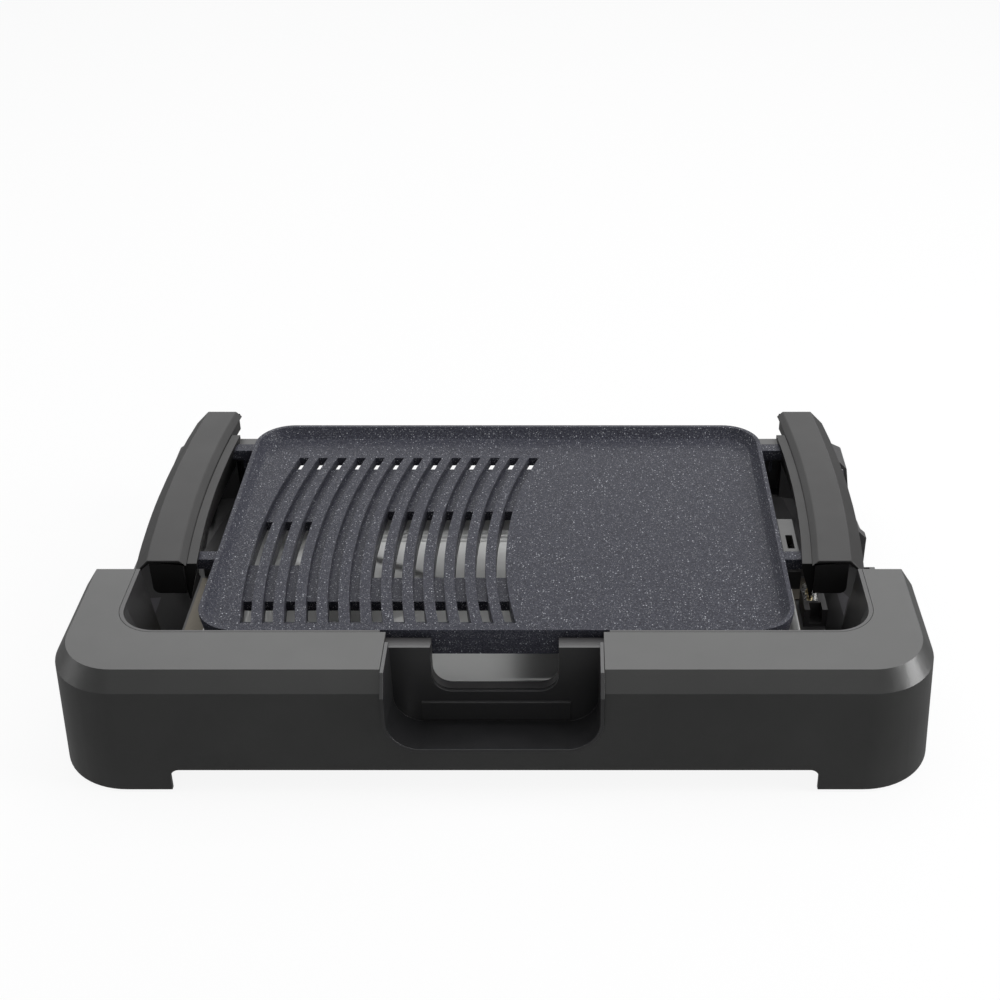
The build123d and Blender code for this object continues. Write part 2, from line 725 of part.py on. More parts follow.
for index in range(int(groove_count)):
    if rib_arc(index) + groove_width > arc_x + pan_inner:
        continue
    plate -= ring(rib_arc(index), groove_width, pan_top - groove_depth, pan_top + 1) & groove_zone
for span, first, last in ((front_slot, 0, int(groove_count) - 1), (rear_slot, 0, int(groove_count) - 1),
                          (right_slot, 0, right_slot_last),
                          (left_slot, left_slot_first, int(groove_count) - 1)):
    for cut in slot_zone(first, last, span):
        plate -= cut

arm_z1 = plate_z1 - arm_drop
arm_z0 = arm_z1 - arm_height
grip_in = handle_inner + guard_width
handle_mid = place((handle_front + handle_rear) / 2)
handle_length = handle_rear - handle_front
bow_radius = ((handle_length / 2) ** 2 + handle_bow ** 2) / (2 * handle_bow)


def bow_at(y):
    """How far the handle stands out at a place along its length."""
    return sqrt(bow_radius ** 2 - (y - handle_mid) ** 2) - bow_radius + handle_bow


arm_ys = [place(arm_front), place(arm_rear)]
arm_ends = [grip_in + bow_at(ay) + arm_reach for ay in arm_ys]
arm_root = plate_half_width - plate_rim + 0.5
for ay, arm_end in zip(arm_ys, arm_ends):
    arm = profile_y([(arm_root, arm_z1), (arm_end, arm_z1), (arm_end, arm_z0), (handle_inner - 1, arm_z0),
                     (arm_root, arm_z0 - arm_taper)], ay - arm_width / 2, ay + arm_width / 2)
    arm -= post(arm_end - arm_screw_inset, ay, 0, 200, screw_shank + 0.1)
    plate = plate + arm + mirrored(arm)
tab = block(handle_inner - 3, handle_inner - 1.2, place(arm_rear) - 3, place(arm_rear) + 3,
            arm_z0 - arm_tab, arm_z0 + 1)
plate = plate + tab + mirrored(tab)

tube_z = pan_under - tube_diameter / 2 + tube_sink
tube_radius = tube_diameter / 2
element_end = plate_half_width + 3.5
element_path = FilletPolyline(
    (element_end, place(element_front + 34), tube_z),
    (element_end - 30, place(element_front + 34), tube_z),
    (element_end - 60, place(element_front), tube_z), (element_left, place(element_front), tube_z),
    (element_left, place(element_rear), tube_z), (element_end - 60, place(element_rear), tube_z),
    (element_end - 60, place(element_exit + 10), tube_z),
    (element_end, place(element_exit + 10), tube_z), radius=element_bend)
element = sweep(Plane(origin=element_path @ 0, z_dir=element_path % 0) * Circle(tube_radius),
                path=element_path)
bed = sweep(Plane(origin=element_path @ 0, z_dir=element_path % 0) * Circle(tube_radius + 0.05),
            path=element_path)
plate -= bed
block_x0 = plate_half_width + 1.5
probe_y = place(arm_front + arm_width / 2 + probe_offset)
probe_x0 = plate_half_width - plate_draft - plate_rim - 30
probe_place = Pos((probe_x0 + block_x0) / 2, probe_y, pan_under - probe_diameter / 2) * Rot(0, 90, 0)
probe = probe_place * Cylinder(probe_diameter / 2, block_x0 - probe_x0)
plate -= probe_place * Cylinder(probe_diameter / 2 + joint_gap / 3, block_x0 - probe_x0 + 2)
save("grill_plate", plate)
save("heating_element", element)
save("probe_tube", probe)


# Clamps that hold the element up against the cast plate

clamp_sheet = 1.0
clamp_low = tube_z - tube_radius - joint_gap
clamp_places = [(95.0, element_front), (-30.0, element_rear), (80.0, element_rear)]
clamps = []
clamp_screws = []
for cx, cd in clamp_places:
    cy = place(cd)
    saddle = block(cx - 7, cx + 7, cy - 6.5, cy + 6.5, clamp_low - clamp_sheet, pan_under)
    saddle -= block(cx - 8, cx + 8, cy - 5.0, cy + 5.0, clamp_low, pan_under + 1)
    ears = block(cx - 7, cx + 7, cy - 15, cy - 5.5, pan_under - clamp_sheet, pan_under)
    ears += block(cx - 7, cx + 7, cy + 5.5, cy + 15, pan_under - clamp_sheet, pan_under)
    saddle = saddle + ears
    clamps.append(saddle)
    for side in (-1, 1):
        clamp_screws.append(post(cx, cy + side * 11, pan_under - clamp_sheet - 1.6,
                                 pan_under - clamp_sheet, 2.6))
save("element_clamps", *clamps)
save("clamp_screws", *clamp_screws)


# Handles: a hollow grip, a top cover with a sloping visor, and an inner heat guard

handle_y0 = place(handle_front)
handle_y1 = place(handle_rear)
box_y1 = place(tower_front - 1.0)
handle_top = plate_z1 + handle_rise
box_top = handle_top - cover_thickness
box_bottom = box_top - handle_box_height
grip_out = handle_inner + handle_width
bow_centre = grip_out + handle_bow - bow_radius


def bowed(section, y0, y1):
    """A section at the handle's ends, carried along its bow from y0 to y1."""
    swing = 8.0
    axis = Axis((bow_centre, handle_mid, 0), (0, 0, 1))
    face = Pos(handle_bow, handle_mid, 0) * section
    solid = revolve(face.rotate(axis, -swing), axis=axis, revolution_arc=2 * swing)
    return solid & block(0, base_width, y0, y1, -50, 300)


def section(points):
    """A face on an XZ outline, at Y zero."""
    return make_face(Polyline(*[(x, 0, z) for x, z in points], close=True))


grip_face = section([(grip_in, box_bottom), (grip_out, box_bottom), (grip_out, box_top),
                     (grip_in, box_top)])
grip_corner = grip_face.vertices().sort_by(Axis.Z)[:2].sort_by(Axis.X)[-1]
grip_face = fillet(grip_corner, grip_round)
grip_hollow = section([(grip_in + grip_wall, box_bottom + grip_wall),
                       (grip_out - grip_wall, box_bottom + grip_wall),
                       (grip_out - grip_wall, box_top + 1), (grip_in + grip_wall, box_top + 1)])
grip = bowed(grip_face, handle_y0, box_y1)
grip -= bowed(grip_hollow, handle_y0 + grip_wall, box_y1 - grip_wall)
tail_low = tower_top + joint_gap
tail_face = section([(grip_in, tail_low), (grip_out, tail_low), (grip_out, box_top), (grip_in, box_top)])
tail_hollow = section([(grip_in + grip_wall, tail_low + grip_wall), (grip_out - grip_wall, tail_low + grip_wall),
                       (grip_out - grip_wall, box_top + 1), (grip_in + grip_wall, box_top + 1)])
grip += bowed(tail_face, box_y1 - 0.5, handle_y1 - 0.5)
grip -= bowed(tail_hollow, box_y1 + grip_wall, handle_y1 - 0.5 - grip_wall)
handle_screws = []
for ay, arm_end in zip(arm_ys, arm_ends):
    screw_x = arm_end - arm_screw_inset
    grip += block(grip_in + bow_at(ay) + grip_wall / 2, screw_x + screw_shank + grip_wall,
                  ay - arm_width / 2 - 1, ay + arm_width / 2 + 1, arm_z1, box_top)
    grip -= block(0, arm_end + joint_gap, ay - arm_width / 2 - joint_gap,
                  ay + arm_width / 2 + joint_gap, arm_z0 - joint_gap, arm_z1)
    grip -= post(screw_x, ay, arm_z0, box_top + 1, screw_shank + 0.1)
    grip -= post(screw_x, ay, box_bottom - 1, arm_z0, screw_head + 0.8)
    driven = screw(screw_x, ay, arm_z0, arm_height + 5)
    handle_screws += [driven, mirrored(driven)]
save("handle_grip_right", grip)
save("handle_grip_left", mirrored(grip))
save("handle_screws", *handle_screws)

visor_low = handle_top - visor_drop
cover_in = grip_in + cover_inset
cover_face = section([(grip_in - 0.2, box_top), (grip_out + 0.3, box_top),
                      (grip_out + visor_reach - 0.6, visor_low),
                      (grip_out + visor_reach + 0.8, visor_low + 0.9),
                      (grip_out + 1.2, handle_top), (cover_in, handle_top),
                      (cover_in - cover_lip, handle_top - guard_drop + 0.4),
                      (grip_in - 0.2, handle_top - guard_drop + 0.4)])
cover = bowed(cover_face, handle_y0, handle_y1)
save("handle_cover_right", cover)
save("handle_cover_left", mirrored(cover))

guard_top = handle_top - guard_drop
guard_low = guard_top - guard_hang
guard_face = section([(handle_inner, guard_top), (grip_in, guard_top), (grip_in, box_bottom),
                      (grip_in - 0.6, guard_low), (grip_in - 1.6, guard_low),
                      (handle_inner, guard_top - guard_strip)])
guard_hollow = section([(handle_inner + guard_wall, guard_top - guard_wall),
                        (grip_in + 1, guard_top - guard_wall), (grip_in + 1, guard_low + guard_strip),
                        (grip_in - 0.6, guard_low + guard_strip),
                        (handle_inner + guard_wall, guard_top - guard_strip)])
guard_y0 = handle_y0 + guard_set_back
guard = bowed(guard_face, guard_y0, box_y1)
guard -= bowed(guard_hollow, guard_y0 + guard_wall, box_y1 - guard_wall)
for ay in arm_ys:
    guard -= block(0, base_width, ay - arm_width / 2 - joint_gap, ay + arm_width / 2 + joint_gap,
                   arm_z0 - joint_gap, arm_z1 + joint_gap)
block_x1 = block_x0 + block_width
block_y0 = place(block_front)
block_y1 = place(block_rear)
block_z0 = arm_z0 - joint_gap - block_height
block_z1 = arm_z0 - joint_gap
guard_room = block(0, block_x1 + joint_gap, block_y0 - joint_gap, block_y1 + joint_gap,
                   block_z0 - joint_gap, block_z1 + block_rise + joint_gap)
guard = guard - guard_room
save("heat_guard_right", guard)
save("heat_guard_left", mirrored(guard))


# Inlet block under the right arm, with its cavity open to the rear and a window on top

block_step_y = place(arm_front + arm_width / 2 + 2)
inlet = block(block_x0, block_x1, block_y0, block_y1, block_z0, block_z1)
inlet += block(block_x0, block_x1, block_step_y, block_y1 - 8, block_z1, block_z1 + block_rise)
inlet -= block(0, block_x1 + 1, place(arm_front) - arm_width / 2 - joint_gap,
               place(arm_front) + arm_width / 2 + joint_gap, arm_z0 - arm_taper - joint_gap, rim_height)
cavity_y0 = place(arm_front + arm_width / 2 + 4)
inlet -= block(block_x0 + block_wall + 0.5, block_x1 - block_wall + 0.5, cavity_y0, block_y1 + 1,
               block_z0 + block_wall, block_z1 - block_wall)
inlet -= block(block_x0 + block_wall + 1, block_x1 - block_wall, cavity_y0 + 3,
               cavity_y0 + 20, block_z0 + block_wall, block_z1 + block_rise + 1)
for depth in (element_front + 34, element_exit + 10):
    inlet -= Pos(block_x0, place(depth), tube_z) * Rot(0, 90, 0) * Cylinder(tube_radius + 0.3, 6.0)

pin_x = (block_x0 + block_x1 + 1) / 2
pin_mid = (block_z0 + block_z1) / 2
pins = []
for side in (-1, 1):
    pin_place = Pos(pin_x, cavity_y0 - 3 + pin_length / 2, pin_mid + side * pin_spacing / 2)
    pin_place = pin_place * Rot(90, 0, 0)
    pins.append(pin_place * Cylinder(pin_diameter / 2, pin_length))
    inlet -= pin_place * Cylinder(pin_diameter / 2 + 0.05, pin_length)
save("inlet_block", inlet)
save("inlet_pins", *pins)


# Contact block and spring at the right of the well

contact_y0 = place(clip_depth - 17)
contact_y1 = place(clip_depth + 10)
contact_x0 = clip_x - contact_left
contact_x1 = clip_x + contact_right
contact_z1 = clip_top - clip_stand
contact = block(contact_x0, contact_x1, contact_y0, contact_y1, floor_top, contact_z1)
contact -= block(contact_x0 + 4, contact_x1 - 4, contact_y0 - 1, contact_y0 + 9, floor_top + 3,
                 contact_z1 + 1)
clip_y = place(clip_depth)
for side in (-1, 1):
    contact -= post(clip_x - 5, clip_y + side * 4.0, contact_z1 - 6, contact_z1 + 1, 1.3)
save("contact_block", contact)

foot_plate = block(clip_x - 9, clip_x + clip_sheet, clip_y - clip_width, clip_y + clip_width,
                   contact_z1, contact_z1 + clip_sheet)
blade = block(clip_x, clip_x + clip_sheet, clip_y - clip_width / 2, clip_y + clip_width / 2,
              contact_z1, clip_top)
hook = block(clip_x - 3, clip_x + clip_sheet, clip_y - clip_width / 2, clip_y + clip_width / 2,
             clip_top - clip_sheet, clip_top)
hook += block(clip_x - 3, clip_x - 3 + clip_sheet, clip_y - clip_width / 2, clip_y + clip_width / 2,
              clip_top - 5, clip_top)
spring = foot_plate + blade + hook
for side in (-1, 1):
    spring -= post(clip_x - 5, clip_y + side * 4.0, contact_z1 - 1, contact_z1 + 2, 1.3)
save("contact_spring", spring)
contact_screws = [screw(clip_x - 5, clip_y + side * 4.0, contact_z1 + clip_sheet, 5.0, up=False,
                        head=2.4, shank=1.2) for side in (-1, 1)]
save("contact_screws", *contact_screws)

os.makedirs("parts", exist_ok=True)
for name, shape in PARTS.items():
    export_step(shape, "parts/" + name + ".step")
    print(name, round(shape.volume))
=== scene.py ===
# The dressed electric table grill: moulded base, pressed drip tray and coated cast plate.
# Camera, lamps and floor are placed in metres. The grill's own sizes are in millimetres.

import bpy
import bmesh
import json
import math
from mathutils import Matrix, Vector


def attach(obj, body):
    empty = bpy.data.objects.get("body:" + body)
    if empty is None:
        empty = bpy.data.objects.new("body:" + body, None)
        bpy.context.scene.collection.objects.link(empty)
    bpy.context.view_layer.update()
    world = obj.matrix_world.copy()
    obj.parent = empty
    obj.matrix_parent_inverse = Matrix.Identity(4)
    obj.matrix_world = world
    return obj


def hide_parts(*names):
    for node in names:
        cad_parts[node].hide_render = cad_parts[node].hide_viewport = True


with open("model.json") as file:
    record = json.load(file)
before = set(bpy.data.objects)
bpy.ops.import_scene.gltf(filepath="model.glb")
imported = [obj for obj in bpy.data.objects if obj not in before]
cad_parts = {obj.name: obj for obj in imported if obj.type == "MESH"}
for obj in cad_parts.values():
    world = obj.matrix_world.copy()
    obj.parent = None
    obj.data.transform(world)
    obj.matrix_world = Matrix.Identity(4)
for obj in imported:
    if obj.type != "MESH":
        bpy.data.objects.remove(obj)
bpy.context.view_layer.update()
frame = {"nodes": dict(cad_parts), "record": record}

MM = 0.001
WELL_FRONT = -118.75 * MM


# Node helpers

def combine(tree, operation, first, second):
    """One Math node on two inputs, each a socket or a plain number."""
    node = tree.nodes.new("ShaderNodeMath")
    node.operation = operation
    for slot, value in enumerate((first, second)):
        if isinstance(value, float):
            node.inputs[slot].default_value = value
        else:
            tree.links.new(value, node.inputs[slot])
    return node.outputs[0]


def straight_ray(tree, straight, glossy):
    """One share for camera and transmission rays, and another for glossy rays."""
    path = tree.nodes.new("ShaderNodeLightPath")
    direct = combine(tree, "MAXIMUM", path.outputs["Is Camera Ray"],
                     path.outputs["Is Transmission Ray"])
    return combine(tree, "MAXIMUM", combine(tree, "MULTIPLY", direct, straight),
                   combine(tree, "MULTIPLY", path.outputs["Is Glossy Ray"], glossy))


# Camera and studio

CAMERA_LENS = 54.0
CAMERA_SENSOR = 36.0
CAMERA_SHIFT = -0.07
CAMERA_FAR = 20.0
CAMERA_PLACE = (0.049, WELL_FRONT - 0.7761, 0.6907)
CAMERA_TILT = 57.38

LAMP_TARGET = (0.0, 0.0, 0.05)
# name: place, width and height of the panel, watts
LAMPS = {
    "overhead": ((0.0, 0.35, 1.9), (2.2, 1.4), 20.0),
    "rear_sheet": ((0.1, 1.75, 1.25), (2.6, 1.3), 9.0),
    "front_fill": ((0.0, -1.9, 1.3), (2.0, 1.0), 3.0),
    "left_strip": ((-1.6, -0.1, 0.9), (0.7, 1.6), 5.0),
    "right_strip": ((1.6, -0.3, 0.8), (0.7, 1.6), 26.0),
}

WHITE = (1.0, 1.0, 1.0, 1.0)
ROOM_TINT = (0.86, 0.88, 0.9, 1.0)
ROOM_STRENGTH = 0.34
# What gloss mirrors of the room: dim to the front, bright to the rear.
MIRRORED_ROOM = {"From Min": -0.85, "From Max": 0.75, "To Min": 0.3, "To Max": 1.4}

FLOOR_REACH = 6.0
FLOOR_DROP = 0.0004
FLOOR_GREY = (0.82, 0.82, 0.82, 1.0)
# For straight rays, and for glossy rays.
FLOOR_GLOW = (1.0, 0.25)
FLOOR_GLOW_SHARE = (0.9, 1.0)


def make_camera():
    data = bpy.data.cameras.new("photo_camera")
    data.lens = CAMERA_LENS
    data.sensor_width = CAMERA_SENSOR
    data.shift_x = CAMERA_SHIFT
    data.clip_end = CAMERA_FAR
    camera = bpy.data.objects.new("photo_camera", data)
    camera.location = CAMERA_PLACE
    camera.rotation_euler = (math.radians(CAMERA_TILT), 0.0, 0.0)
    bpy.context.scene.collection.objects.link(camera)
    bpy.context.scene.camera = camera


def make_lamps():
    for name, (place, size, watts) in LAMPS.items():
        data = bpy.data.lights.new(name, "AREA")
        data.shape = "RECTANGLE"
        data.size, data.size_y = size
        data.energy = watts
        lamp = bpy.data.objects.new(name, data)
        lamp.location = place
        aim = Vector(LAMP_TARGET) - Vector(place)
        lamp.rotation_euler = aim.to_track_quat("-Z", "Y").to_euler()
        bpy.context.scene.collection.objects.link(lamp)


def make_room():
    """A plain level for matte surfaces, a graded one for gloss, and white behind all."""
    world = bpy.data.worlds.new("studio")
    world.use_nodes = True
    bpy.context.scene.world = world
    tree = world.node_tree
    tree.nodes.clear()
    out = tree.nodes.new("ShaderNodeOutputWorld")
    mix = tree.nodes.new("ShaderNodeMixShader")
    shine = tree.nodes.new("ShaderNodeMixShader")
    ambient = tree.nodes.new("ShaderNodeBackground")
    ambient.inputs["Color"].default_value = ROOM_TINT
    ambient.inputs["Strength"].default_value = ROOM_STRENGTH
    mirrored = tree.nodes.new("ShaderNodeBackground")
    way = tree.nodes.new("ShaderNodeTexCoord")
    parts = tree.nodes.new("ShaderNodeSeparateXYZ")
    tree.links.new(way.outputs["Generated"], parts.inputs["Vector"])
    fall = tree.nodes.new("ShaderNodeMapRange")
    for label, value in MIRRORED_ROOM.items():
        fall.inputs[label].default_value = value
    tree.links.new(parts.outputs["Y"], fall.inputs["Value"])
    tree.links.new(fall.outputs["Result"], mirrored.inputs["Strength"])
    seen = tree.nodes.new("ShaderNodeBackground")
    seen.inputs["Color"].default_value = WHITE
    rays = tree.nodes.new("ShaderNodeLightPath")
    tree.links.new(rays.outputs["Is Glossy Ray"], shine.inputs["Fac"])
    tree.links.new(ambient.outputs["Background"], shine.inputs[1])
    tree.links.new(mirrored.outputs["Background"], shine.inputs[2])
    tree.links.new(straight_ray(tree, straight=1.0, glossy=0.0), mix.inputs["Fac"])
    tree.links.new(shine.outputs["Shader"], mix.inputs[1])
    tree.links.new(seen.outputs["Background"], mix.inputs[2])
    tree.links.new(mix.outputs["Shader"], out.inputs["Surface"])


def make_floor():
    """A pale floor that reads white to the camera and still takes the grill's shadow."""
    mesh = bpy.data.meshes.new("floor")
    reach = FLOOR_REACH
    corners = [(-reach, -reach, 0), (reach, -reach, 0), (reach, reach, 0), (-reach, reach, 0)]
    mesh.from_pydata(corners, [], [(0, 1, 2, 3)])
    floor = bpy.data.objects.new("floor", mesh)
    floor.location.z = -FLOOR_DROP
    bpy.context.scene.collection.objects.link(floor)
    mat = bpy.data.materials.new("pale_floor")
    mat.use_nodes = True
    tree = mat.node_tree
    tree.nodes.clear()
    out = tree.nodes.new("ShaderNodeOutputMaterial")
    mix = tree.nodes.new("ShaderNodeMixShader")
    matte = tree.nodes.new("ShaderNodeBsdfDiffuse")
    matte.inputs["Color"].default_value = FLOOR_GREY
    glow = tree.nodes.new("ShaderNodeEmission")
    tree.links.new(straight_ray(tree, *FLOOR_GLOW), glow.inputs["Strength"])
    tree.links.new(straight_ray(tree, *FLOOR_GLOW_SHARE), mix.inputs["Fac"])
    tree.links.new(matte.outputs["BSDF"], mix.inputs[1])
    tree.links.new(glow.outputs["Emission"], mix.inputs[2])
    tree.links.new(mix.outputs["Shader"], out.inputs["Surface"])
    mesh.materials.append(mat)


# Materials

TONE_BAND = (0.3, 0.7)
PLASTIC_SHADES = (0.82, 1.15)
PLASTIC_ROUGHNESS_SPREAD = (-0.05, 0.06)
PLASTIC_GRAIN = 1500.0
RUBBER_GRAIN = 800.0
GRAIN_DEPTH = 0.04 * MM

METAL_SHADE = 0.86
METAL_ROUGHNESS_SPREAD = (-0.08, 0.1)
METAL_GRAIN = 260.0
METAL_DEPTH = 0.03 * MM

COAT_ROUGHNESS = 0.34
COAT_SPECULAR = 0.08
COAT_GRAIN = 1100.0
COAT_DIMPLES = 700.0
COAT_DARK = (0.0175, 0.0180, 0.0240)
COAT_LIGHT = (0.060, 0.061, 0.077)
COAT_DEPTH = 0.12 * MM
# Cells per metre, widest speck in cells, share of cells that hold one, and its tone.
SPECKLES = ((560.0, 0.30, 0.46, 0.34), (1050.0, 0.44, 0.70, 0.16))
SPECKLE_TINT = (1.0, 1.02, 1.1)

# name: colour, roughness, specular level, grains per metre
PLASTICS = {
    "base_plastic": ((0.0135, 0.0138, 0.0132), 0.38, 0.9, PLASTIC_GRAIN),
    "housing_plastic": ((0.0260, 0.0252, 0.0262), 0.42, 0.8, PLASTIC_GRAIN),
    # The panels' colour is their own lighter purple-grey, raised further as painted light to
    # offset the lifted plate's shadow on them.
    "panel_plastic": ((0.0800, 0.0740, 0.0880), 0.36, 0.95, PLASTIC_GRAIN),
    "recess_plastic": ((0.0070, 0.0070, 0.0080), 0.38, 0.95, PLASTIC_GRAIN),
    "cover_plastic": ((0.0100, 0.0100, 0.0100), 0.50, 0.95, PLASTIC_GRAIN),
    "handle_plastic": ((0.0130, 0.0125, 0.0125), 0.34, 0.3, PLASTIC_GRAIN),
    "guard_plastic": ((0.0110, 0.0108, 0.0106), 0.36, 0.3, PLASTIC_GRAIN),
    "inlet_plastic": ((0.0070, 0.0070, 0.0070), 0.45, 0.95, PLASTIC_GRAIN),
    "foot_rubber": ((0.0120, 0.0120, 0.0120), 0.75, 0.95, RUBBER_GRAIN),
}
# name: colour, roughness, how much finer the brushing is along X, Y and Z
METALS = {
    "tray_aluminium": ((0.58, 0.585, 0.58), 0.44, (1, 14, 1)),
    "shield_metal": ((0.17, 0.155, 0.13), 0.42, (6, 1, 1)),
    "element_steel": ((0.22, 0.21, 0.20), 0.45, (1, 1, 1)),
    "clamp_steel": ((0.55, 0.55, 0.55), 0.35, (1, 1, 1)),
    "spring_steel": ((0.75, 0.75, 0.74), 0.22, (1, 1, 1)),
    "screw_steel": ((0.66, 0.66, 0.64), 0.28, (1, 1, 1)),
    "pin_brass": ((0.72, 0.60, 0.36), 0.28, (1, 1, 1)),
}


def start_material(name, roughness):
    mat = bpy.data.materials.new(name)
    mat.use_nodes = True
    shader = mat.node_tree.nodes["Principled BSDF"]
    shader.inputs["Roughness"].default_value = roughness
    return mat, mat.node_tree, shader


def object_noise(tree, scale, detail, stretch=(1, 1, 1)):
    """Noise that is fixed to the piece."""
    where = tree.nodes.new("ShaderNodeTexCoord")
    mapping = tree.nodes.new("ShaderNodeMapping")
    mapping.inputs["Scale"].default_value = stretch
    noise = tree.nodes.new("ShaderNodeTexNoise")
    noise.inputs["Scale"].default_value = scale
    noise.inputs["Detail"].default_value = detail
    tree.links.new(where.outputs["Object"], mapping.inputs["Vector"])
    tree.links.new(mapping.outputs["Vector"], noise.inputs["Vector"])
    return noise.outputs["Fac"]


def tones(tree, value, low, high):
    """A colour between two tones."""
    node = tree.nodes.new("ShaderNodeValToRGB")
    for element, position, tone in zip(node.color_ramp.elements, TONE_BAND, (low, high)):
        element.position = position
        element.color = (*tone, 1.0)
    tree.links.new(value, node.inputs["Fac"])
    return node.outputs["Color"]


def vary_roughness(tree, shader, value, roughness, spread):
    node = tree.nodes.new("ShaderNodeMapRange")
    node.inputs["To Min"].default_value = roughness + spread[0]
    node.inputs["To Max"].default_value = roughness + spread[1]
    tree.links.new(value, node.inputs["Value"])
    tree.links.new(node.outputs["Result"], shader.inputs["Roughness"])


def bump(tree, shader, height, strength, distance):
    node = tree.nodes.new("ShaderNodeBump")
    node.inputs["Strength"].default_value = strength
    node.inputs["Distance"].default_value = distance
    tree.links.new(height, node.inputs["Height"])
    tree.links.new(node.outputs["Normal"], shader.inputs["Normal"])


def grained_plastic(name, colour, roughness, specular, grain):
    """Moulded plastic or rubber: faint clouds of tone and gloss under a fine grain."""
    mat, tree, shader = start_material(name, roughness)
    shader.inputs["Specular IOR Level"].default_value = specular
    dark, light = [tuple(shade * c for c in colour) for shade in PLASTIC_SHADES]
    clouds = object_noise(tree, scale=22.0, detail=4.0)
    tree.links.new(tones(tree, clouds, dark, light), shader.inputs["Base Color"])
    vary_roughness(tree, shader, object_noise(tree, scale=60.0, detail=3.0), roughness,
                   PLASTIC_ROUGHNESS_SPREAD)
    bump(tree, shader, object_noise(tree, grain, detail=2.0), strength=0.35, distance=GRAIN_DEPTH)
    return mat


def sheet_metal(name, colour, roughness, brushing):
    """Bare metal with faint clouds and a brushed gloss."""
    mat, tree, shader = start_material(name, roughness)
    shader.inputs["Metallic"].default_value = 1.0
    dark = tuple(METAL_SHADE * c for c in colour)
    clouds = object_noise(tree, scale=9.0, detail=5.0)
    tree.links.new(tones(tree, clouds, dark, colour), shader.inputs["Base Color"])
    brushed = object_noise(tree, METAL_GRAIN, detail=3.0, stretch=brushing)
    vary_roughness(tree, shader, brushed, roughness, METAL_ROUGHNESS_SPREAD)
    bump(tree, shader, brushed, strength=0.3, distance=METAL_DEPTH)
    return mat


def speckled_coat(name):
    """The plate's dark coating with two sizes of pale specks."""
    mat, tree, shader = start_material(name, COAT_ROUGHNESS)
    shader.inputs["Specular IOR Level"].default_value = COAT_SPECULAR
    colour = tones(tree, object_noise(tree, COAT_GRAIN, detail=4.0), COAT_DARK, COAT_LIGHT)
    where = tree.nodes.new("ShaderNodeTexCoord")
    for scale, size, share, tone in SPECKLES:
        cells = tree.nodes.new("ShaderNodeTexVoronoi")
        cells.inputs["Scale"].default_value = scale
        tree.links.new(where.outputs["Object"], cells.inputs["Vector"])
        split = tree.nodes.new("ShaderNodeSeparateColor")
        tree.links.new(cells.outputs["Color"], split.inputs["Color"])
        chosen = combine(tree, "LESS_THAN", split.outputs["Red"], share)
        reach = combine(tree, "MULTIPLY", split.outputs["Green"], size)
        near = combine(tree, "LESS_THAN", cells.outputs["Distance"], reach)
        mix = tree.nodes.new("ShaderNodeMix")
        mix.data_type = "RGBA"
        mix.inputs["B"].default_value = (*(tone * tint for tint in SPECKLE_TINT), 1.0)
        tree.links.new(combine(tree, "MULTIPLY", chosen, near), mix.inputs["Factor"])
        tree.links.new(colour, mix.inputs["A"])
        colour = mix.outputs["Result"]
    tree.links.new(colour, shader.inputs["Base Color"])
    bump(tree, shader, object_noise(tree, COAT_DIMPLES, detail=3.0), strength=0.35,
         distance=COAT_DEPTH)
    return mat


MATERIALS = {"coated_cast": speckled_coat("coated_cast")}
for name, (colour, roughness, specular, grain) in PLASTICS.items():
    MATERIALS[name] = grained_plastic(name, colour, roughness, specular, grain)
for name, (colour, roughness, brushing) in METALS.items():
    MATERIALS[name] = sheet_metal(name, colour, roughness, brushing)

SLOT = {entry["node"]: entry["material_slot"] for entry in frame["record"]["subparts"]}
BODY = {}
for body, nodes in frame["record"]["behaviour"]["bodies"].items():
    for node in nodes:
        BODY[node] = body


def finish_piece(obj, node):
    """Material, body and slot for a piece that stands for a CAD node."""
    obj.data.materials.clear()
    obj.data.materials.append(MATERIALS[SLOT[node]])
    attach(obj, BODY[node])
    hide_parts(node)


def plain_mesh(obj):
    """The object's mesh with its modifiers applied, and the modifiers gone."""
    dg = bpy.context.evaluated_depsgraph_get()
    mesh = bpy.data.meshes.new_from_object(obj.evaluated_get(dg))
    obj.modifiers.clear()
    old = obj.data
    obj.data = mesh
    bpy.data.meshes.remove(old)
    mesh.name = obj.name


# Mouldings and the cast plate, with the radius that each keeps on its edges

ROUNDED = {
    "outer_shell": 1.2, "inner_housing": 0.9, "hand_recess": 0.9, "tower_panel_right": 0.6,
    "tower_panel_left": 0.6, "handle_grip_right": 1.2, "handle_grip_left": 1.2,
    "handle_cover_right": 0.7, "handle_cover_left": 0.7, "heat_guard_right": 0.5,
    "heat_guard_left": 0.5, "grill_plate": 1.1, "inlet_block": 0.6, "contact_block": 0.5,
}
EDGE_SEGMENTS = 2
EDGE_SHARPER_THAN = 28.0
FLAT_WITHIN = 1.0
MERGE_WITHIN = 0.02 * MM


def soft_edged(node, width):
    """A copy of a CAD node with its edges rounded as a mould leaves them."""
    mesh = frame["nodes"][node].data.copy()
    bm = bmesh.new()
    bm.from_mesh(mesh)
    bmesh.ops.remove_doubles(bm, verts=bm.verts, dist=MERGE_WITHIN)
    bmesh.ops.dissolve_limit(bm, angle_limit=math.radians(FLAT_WITHIN), verts=bm.verts,
                             edges=bm.edges)
    bm.to_mesh(mesh)
    bm.free()
    obj = bpy.data.objects.new(node + "_soft", mesh)
    bpy.context.scene.collection.objects.link(obj)
    mesh.shade_smooth()
    rounding = obj.modifiers.new("rounding", "BEVEL")
    rounding.width = width
    rounding.segments = EDGE_SEGMENTS
    rounding.limit_method = "ANGLE"
    rounding.angle_limit = math.radians(EDGE_SHARPER_THAN)
    rounding.use_clamp_overlap = True
    even = obj.modifiers.new("even", "WEIGHTED_NORMAL")
    even.keep_sharp = False
    plain_mesh(obj)
    finish_piece(obj, node)


# Drip tray

